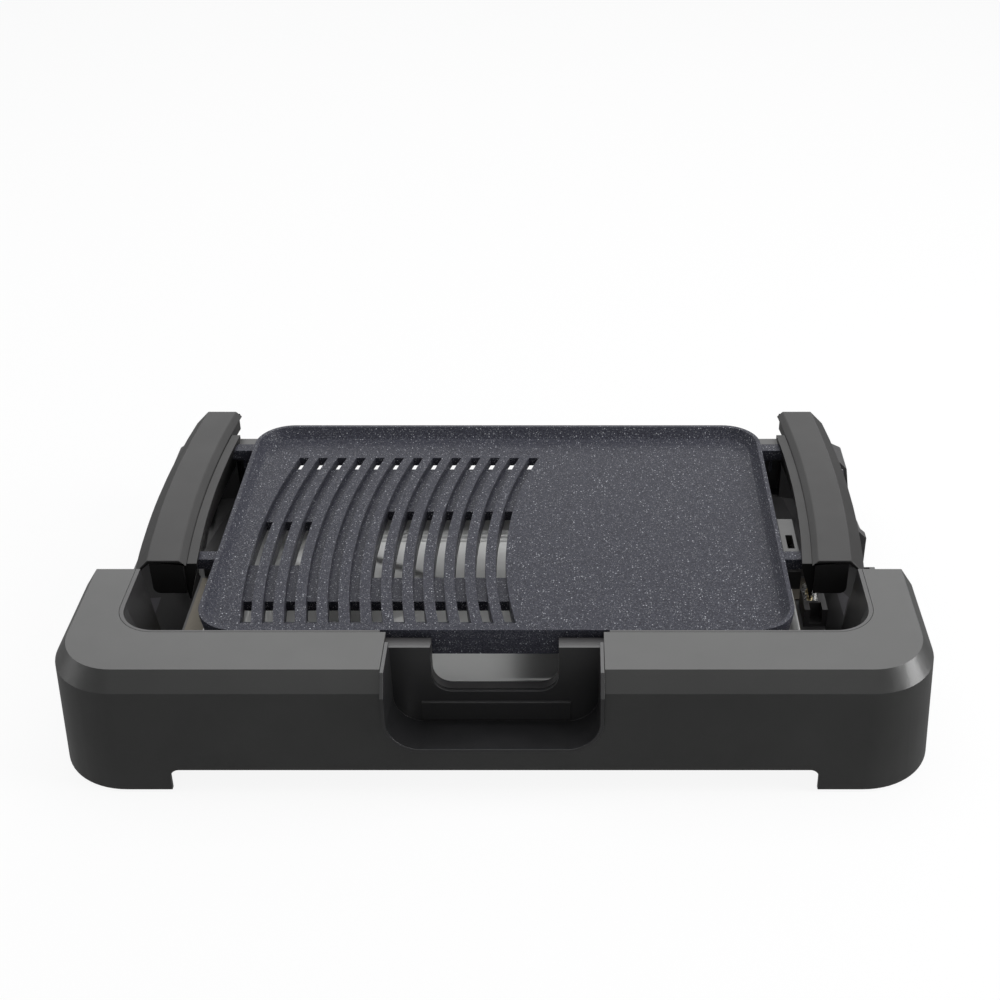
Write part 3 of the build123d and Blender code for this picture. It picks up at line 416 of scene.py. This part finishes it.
TRAY_HALF = 214.0
TRAY_FRONT = 12.0
TRAY_REAR = 251.0
TRAY_FRONT_RADIUS = 60.0
TRAY_REAR_RADIUS = 90.0
TRAY_RIM = 34.0
TRAY_FLOOR = 17.0
TRAY_SHEET = 1.0
# The innermost rings keep this radius, or as much less as their depth asks for.
TRAY_LEAST_RADIUS = 5.0
TRAY_RADIUS_SPARE = 0.2

# Distances in from the sheet's edge, seen from above.
FLANGE_INSETS = (0.0, 0.5, 1.2, 2.5, 4.2, 5.2, 6.0)
FLANGE_WIDTH = FLANGE_INSETS[-1]
WALL_WIDTH = 16.0
WALL_STEPS = 12
WALL_FOOT = FLANGE_WIDTH + WALL_WIDTH
WALL_SOFTNESS = 0.04
FLOOR_STEP = 1.5
FLOOR_RINGS = 64
EDGE_ROLL = (0.0, 1.2)
EDGE_ROLL_DROP = 0.5
FLANGE_DIP = (4.4, 6.0)
FLANGE_DIP_DROP = 0.4
BEAD_UP = (24.0, 27.0)
BEAD_DOWN = (29.0, 32.0)
BEAD_RISE = 0.9
# A pressed panel rises over this distance in from its own outline.
PANEL_SLOPE = (-0.5, 3.8)
PANEL_RISE = 1.4

PRESSED_PANELS = (
    ((-138, 207), (-49, 157), (49, 157), (138, 207), (128, 216), (-128, 216)),
    ((-167, 194), (-178, 184), (-178, 50), (-162, 38), (-66, 118), (-66, 130), (-76, 147)),
    ((167, 194), (76, 147), (66, 130), (66, 118), (162, 38), (178, 50), (178, 184)),
)

# Points on each corner's arc and along each side of a ring.
ARC_STEPS = 16
SIDE_STEPS = 90


def rounded_plan(half, front, rear, front_radius, rear_radius):
    """Points round a plan outline, always the same number of them."""
    corners = ((half, front, front_radius, -90), (half, rear, rear_radius, 0),
               (-half, rear, rear_radius, 90), (-half, front, front_radius, 180))
    arcs = []
    for x, y, radius, turn in corners:
        cx = x - math.copysign(radius, x)
        cy = y + radius if y == front else y - radius
        arcs.append([(cx + radius * math.cos(math.radians(turn + 90 * k / ARC_STEPS)),
                      cy + radius * math.sin(math.radians(turn + 90 * k / ARC_STEPS)))
                     for k in range(ARC_STEPS + 1)])
    points = []
    for arc, following in zip(arcs, arcs[1:] + arcs[:1]):
        points += arc
        a, b = arc[-1], following[0]
        points += [(a[0] + (b[0] - a[0]) * t / SIDE_STEPS, a[1] + (b[1] - a[1]) * t / SIDE_STEPS)
                   for t in range(1, SIDE_STEPS)]
    return points


def ease(value, low, high):
    """Smooth step from 0 at low to 1 at high."""
    t = min(max((value - low) / (high - low), 0.0), 1.0)
    return t * t * (3.0 - 2.0 * t)


def depth_inside(x, y, corners):
    """How far a point lies inside a convex outline given anticlockwise."""
    return min(((bx - ax) * (y - ay) - (by - ay) * (x - ax)) / math.hypot(bx - ax, by - ay)
               for (ax, ay), (bx, by) in zip(corners, corners[1:] + corners[:1]))


def anticlockwise(corners):
    area = sum(a[0] * b[1] - b[0] * a[1] for a, b in zip(corners, corners[1:] + corners[:1]))
    return corners if area > 0 else corners[::-1]


def tray_height(inset, x, y):
    """Height of the pressed sheet at a distance in from its edge."""
    if inset < FLANGE_WIDTH:
        rolled = EDGE_ROLL_DROP * (1.0 - ease(inset, *EDGE_ROLL))
        return TRAY_RIM - rolled - FLANGE_DIP_DROP * ease(inset, *FLANGE_DIP)
    if inset < WALL_FOOT:
        down = (inset - FLANGE_WIDTH) / WALL_WIDTH
        down -= WALL_SOFTNESS * math.sin(2 * math.pi * down)
        top = TRAY_RIM - FLANGE_DIP_DROP
        return top - (top - TRAY_FLOOR) * down
    z = TRAY_FLOOR + BEAD_RISE * ease(inset, *BEAD_UP) * (1.0 - ease(inset, *BEAD_DOWN))
    for corners in PRESSED_PANELS:
        z += PANEL_RISE * ease(depth_inside(x, y, anticlockwise(corners)), *PANEL_SLOPE)
    return z


def make_tray():
    """Rings from the sheet's edge to its middle, closed there and given the sheet's gauge."""
    insets = list(FLANGE_INSETS)
    insets += [FLANGE_WIDTH + WALL_WIDTH * k / WALL_STEPS for k in range(1, WALL_STEPS + 1)]
    insets += [WALL_FOOT + FLOOR_STEP * k for k in range(1, FLOOR_RINGS + 1)]
    bm = bmesh.new()
    rings = []
    for inset in insets:
        front, rear = TRAY_FRONT + inset, TRAY_REAR - inset
        least = min(TRAY_LEAST_RADIUS, (rear - front) / 2 - TRAY_RADIUS_SPARE)
        plan = rounded_plan(TRAY_HALF - inset, front, rear, max(TRAY_FRONT_RADIUS - inset, least),
                            max(TRAY_REAR_RADIUS - inset, least))
        rings.append([bm.verts.new((x * MM, WELL_FRONT + y * MM, tray_height(inset, x, y) * MM))
                      for x, y in plan])
    for outer, inner in zip(rings, rings[1:]):
        count = len(outer)
        for k in range(count):
            bm.faces.new((outer[k], outer[(k + 1) % count], inner[(k + 1) % count], inner[k]))
    close_middle(bm, rings[-1])
    bmesh.ops.recalc_face_normals(bm, faces=bm.faces)
    bm.faces.ensure_lookup_table()
    if bm.faces[-1].normal.z < 0:
        bmesh.ops.reverse_faces(bm, faces=bm.faces)
    mesh = bpy.data.meshes.new("pressed_tray")
    bm.to_mesh(mesh)
    bm.free()
    mesh.shade_smooth()
    tray = bpy.data.objects.new("pressed_tray", mesh)
    bpy.context.scene.collection.objects.link(tray)
    sheet = tray.modifiers.new("sheet", "SOLIDIFY")
    sheet.thickness = TRAY_SHEET * MM
    sheet.offset = -1.0
    plain_mesh(tray)
    finish_piece(tray, "drip_tray")


def close_middle(bm, ring):
    """Faces across the long narrow last ring, in pairs outwards from its right end."""
    right_end = ARC_STEPS + SIDE_STEPS // 2
    for k in range(len(ring) // 2):
        around = []
        for place in (right_end - k - 1, right_end - k, right_end + k, right_end + k + 1):
            vert = ring[place % len(ring)]
            if vert not in around:
                around.append(vert)
        bm.faces.new(around)


# Screws

# node: heads up, height of the head, radius of the shank
SCREWS = {
    "heat_shield_screws": (True, 2.0, 1.6), "bottom_cover_screws": (False, 2.0, 1.6),
    "shell_screws": (False, 2.0, 1.6), "handle_screws": (False, 2.0, 1.6),
    "contact_screws": (True, 2.0, 1.2), "clamp_screws": (False, 1.5, 2.0),
}
SCREW_INPUTS = ("Head Radius", "Head Height", "Shank Radius", "Shank Length", "Cross Width")
# Width of the crown and of the cross, as shares of the head's radius.
CROWN_SHARE = 0.72
CROSS_SHARE = 0.26
HEAD_SIDES = 28
SHANK_SIDES = 16
SHORTEST_SHANK = 0.2 * MM
SCREW_MERGE_WITHIN = 0.01 * MM


def screw_tree(name, heads_up):
    """A node tree that sets a pan head screw with a cross on every point given."""
    tree = bpy.data.node_groups.new(name, "GeometryNodeTree")
    sockets = tree.interface
    sockets.new_socket(name="Places", in_out="INPUT", socket_type="NodeSocketGeometry")
    inputs = {}
    for label in SCREW_INPUTS:
        socket = sockets.new_socket(name=label, in_out="INPUT", socket_type="NodeSocketFloat")
        inputs[label] = socket.identifier
    finish = sockets.new_socket(name="Finish", in_out="INPUT", socket_type="NodeSocketMaterial")
    inputs["Finish"] = finish.identifier
    sockets.new_socket(name="Screws", in_out="OUTPUT", socket_type="NodeSocketGeometry")
    entry = tree.nodes.new("NodeGroupInput").outputs
    leave = tree.nodes.new("NodeGroupOutput")
    seat_end, far_end = "Radius Bottom", "Radius Top"
    if not heads_up:
        seat_end, far_end = far_end, seat_end

    def lifted(shape, height):
        move = tree.nodes.new("GeometryNodeTransform")
        where = tree.nodes.new("ShaderNodeCombineXYZ")
        tree.links.new(height, where.inputs["Z"])
        tree.links.new(shape, move.inputs["Geometry"])
        tree.links.new(where.outputs["Vector"], move.inputs["Translation"])
        return move.outputs["Geometry"]

    def rod(seat_radius, far_radius, length, sides):
        """A round bar that stands on the seat, on the head's side of it."""
        node = tree.nodes.new("GeometryNodeMeshCone")
        node.inputs["Vertices"].default_value = sides
        tree.links.new(seat_radius, node.inputs[seat_end])
        tree.links.new(far_radius, node.inputs[far_end])
        tree.links.new(length, node.inputs["Depth"])
        return lifted(node.outputs["Mesh"],
                      combine(tree, "MULTIPLY", length, 0.0 if heads_up else -1.0))

    crown = combine(tree, "MULTIPLY", entry["Head Radius"], CROWN_SHARE)
    head = rod(entry["Head Radius"], crown, entry["Head Height"], HEAD_SIDES)
    shank = rod(entry["Shank Radius"], entry["Shank Radius"], entry["Shank Length"], SHANK_SIDES)
    shank = lifted(shank, combine(tree, "MULTIPLY", entry["Shank Length"],
                                  -1.0 if heads_up else 1.0))
    cutters = tree.nodes.new("GeometryNodeJoinGeometry")
    for along, across in (("X", "Y"), ("Y", "X")):
        bar = tree.nodes.new("GeometryNodeMeshCube")
        bar_size = tree.nodes.new("ShaderNodeCombineXYZ")
        tree.links.new(entry["Head Radius"], bar_size.inputs[along])
        tree.links.new(entry["Cross Width"], bar_size.inputs[across])
        tree.links.new(entry["Head Height"], bar_size.inputs["Z"])
        tree.links.new(bar_size.outputs["Vector"], bar.inputs["Size"])
        crown_height = combine(tree, "MULTIPLY", entry["Head Height"], 1.0 if heads_up else -1.0)
        tree.links.new(lifted(bar.outputs["Mesh"], crown_height), cutters.inputs["Geometry"])
    crossed = tree.nodes.new("GeometryNodeMeshBoolean")
    crossed.operation = "DIFFERENCE"
    tree.links.new(head, crossed.inputs["Mesh 1"])
    tree.links.new(cutters.outputs["Geometry"], crossed.inputs["Mesh 2"])
    whole = tree.nodes.new("GeometryNodeJoinGeometry")
    tree.links.new(crossed.outputs["Mesh"], whole.inputs["Geometry"])
    tree.links.new(shank, whole.inputs["Geometry"])
    placed = tree.nodes.new("GeometryNodeInstanceOnPoints")
    tree.links.new(entry["Places"], placed.inputs["Points"])
    tree.links.new(whole.outputs["Geometry"], placed.inputs["Instance"])
    real = tree.nodes.new("GeometryNodeRealizeInstances")
    tree.links.new(placed.outputs["Instances"], real.inputs["Geometry"])
    dressed = tree.nodes.new("GeometryNodeSetMaterial")
    tree.links.new(real.outputs["Geometry"], dressed.inputs["Geometry"])
    tree.links.new(entry["Finish"], dressed.inputs["Material"])
    tree.links.new(dressed.outputs["Geometry"], leave.inputs["Screws"])
    return tree, inputs


def solid_boxes(node):
    """Lowest and highest corner of each separate solid of a CAD node, in the mesh's order."""
    bm = bmesh.new()
    bm.from_mesh(frame["nodes"][node].data)
    bmesh.ops.remove_doubles(bm, verts=bm.verts, dist=SCREW_MERGE_WITHIN)
    reached = set()
    boxes = []
    for start in bm.verts:
        if start in reached:
            continue
        reached.add(start)
        stack = [start]
        low = [math.inf] * 3
        high = [-math.inf] * 3
        while stack:
            vert = stack.pop()
            for axis in range(3):
                low[axis] = min(low[axis], vert.co[axis])
                high[axis] = max(high[axis], vert.co[axis])
            for edge in vert.link_edges:
                other = edge.other_vert(vert)
                if other not in reached:
                    reached.add(other)
                    stack.append(other)
        boxes.append((low, high))
    bm.free()
    return boxes


def make_screws(node, heads_up, head_height, shank_radius):
    """Screws in place of the plain ones of a CAD node."""
    boxes = solid_boxes(node)
    seats = []
    for low, high in boxes:
        seat = high[2] - head_height if heads_up else low[2] + head_height
        seats.append(((low[0] + high[0]) / 2, (low[1] + high[1]) / 2, seat))
    mesh = bpy.data.meshes.new(node + "_cross")
    mesh.from_pydata(seats, [], [])
    obj = bpy.data.objects.new(node + "_cross", mesh)
    bpy.context.scene.collection.objects.link(obj)
    low, high = boxes[0]
    radius = (high[0] - low[0]) / 2
    tree, inputs = screw_tree(node + "_tree", heads_up)
    screws = obj.modifiers.new("screws", "NODES")
    screws.node_group = tree
    screws[inputs["Head Radius"]] = radius
    screws[inputs["Head Height"]] = head_height
    screws[inputs["Shank Radius"]] = shank_radius
    screws[inputs["Shank Length"]] = max(high[2] - low[2] - head_height, SHORTEST_SHANK)
    screws[inputs["Cross Width"]] = CROSS_SHARE * radius
    screws[inputs["Finish"]] = MATERIALS[SLOT[node]]
    plain_mesh(obj)
    obj.data.shade_flat()
    finish_piece(obj, node)


# Raised arrow marks on the side slopes of the well, at X from the middle and Y from its front

ARROW_MARKS = (
    ((-264.3, 114.5), (-255.8, 126.0), (-255.5, 102.8)),
    ((250.1, 148.5), (256.5, 125.4), (250.9, 110.0)),
)
# How far a mark stands out of the slope, and how deep its root lies in it.
MARK_RISE = 0.35
MARK_ROOT = 0.4
# The slope starts here and rises by this much for each millimetre outwards.
SLOPE_FOOT = 238.0
SLOPE_FOOT_HEIGHT = 11.5
SLOPE_RISE = 0.8714


def make_arrow_marks():
    bm = bmesh.new()
    for corners in ARROW_MARKS:
        side = math.copysign(1.0, corners[0][0])
        out = Vector((-SLOPE_RISE * side, 0.0, 1.0)).normalized()
        upper = []
        lower = []
        for x, y in corners:
            z = SLOPE_FOOT_HEIGHT + (abs(x) - SLOPE_FOOT) * SLOPE_RISE
            foot = Vector((x * MM, WELL_FRONT + y * MM, z * MM))
            upper.append(bm.verts.new(foot + out * MARK_RISE * MM))
            lower.append(bm.verts.new(foot - out * MARK_ROOT * MM))
        bm.faces.new(upper)
        bm.faces.new(lower[::-1])
        for k in range(3):
            n = (k + 1) % 3
            bm.faces.new((upper[k], lower[k], lower[n], upper[n]))
    bmesh.ops.recalc_face_normals(bm, faces=bm.faces)
    mesh = bpy.data.meshes.new("arrow_marks")
    bm.to_mesh(mesh)
    bm.free()
    obj = bpy.data.objects.new("arrow_marks", mesh)
    bpy.context.scene.collection.objects.link(obj)
    # The marks take the panels' colour, which holds that painted light too.
    obj.data.materials.append(MATERIALS["panel_plastic"])
    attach(obj, "base")


# The whole scene

make_camera()
make_lamps()
make_room()
make_floor()
for node, width in ROUNDED.items():
    soft_edged(node, width * MM)
make_tray()
for node, (heads_up, head_height, shank_radius) in SCREWS.items():
    make_screws(node, heads_up, head_height * MM, shank_radius * MM)
make_arrow_marks()
for node, obj in frame["nodes"].items():
    if node not in ROUNDED and node not in SCREWS and node != "drip_tray":
        for held in obj.material_slots:
            held.material = MATERIALS[SLOT[node]]
        if not obj.material_slots:
            obj.data.materials.append(MATERIALS[SLOT[node]])

bpy.context.scene.view_settings.view_transform = "Standard"
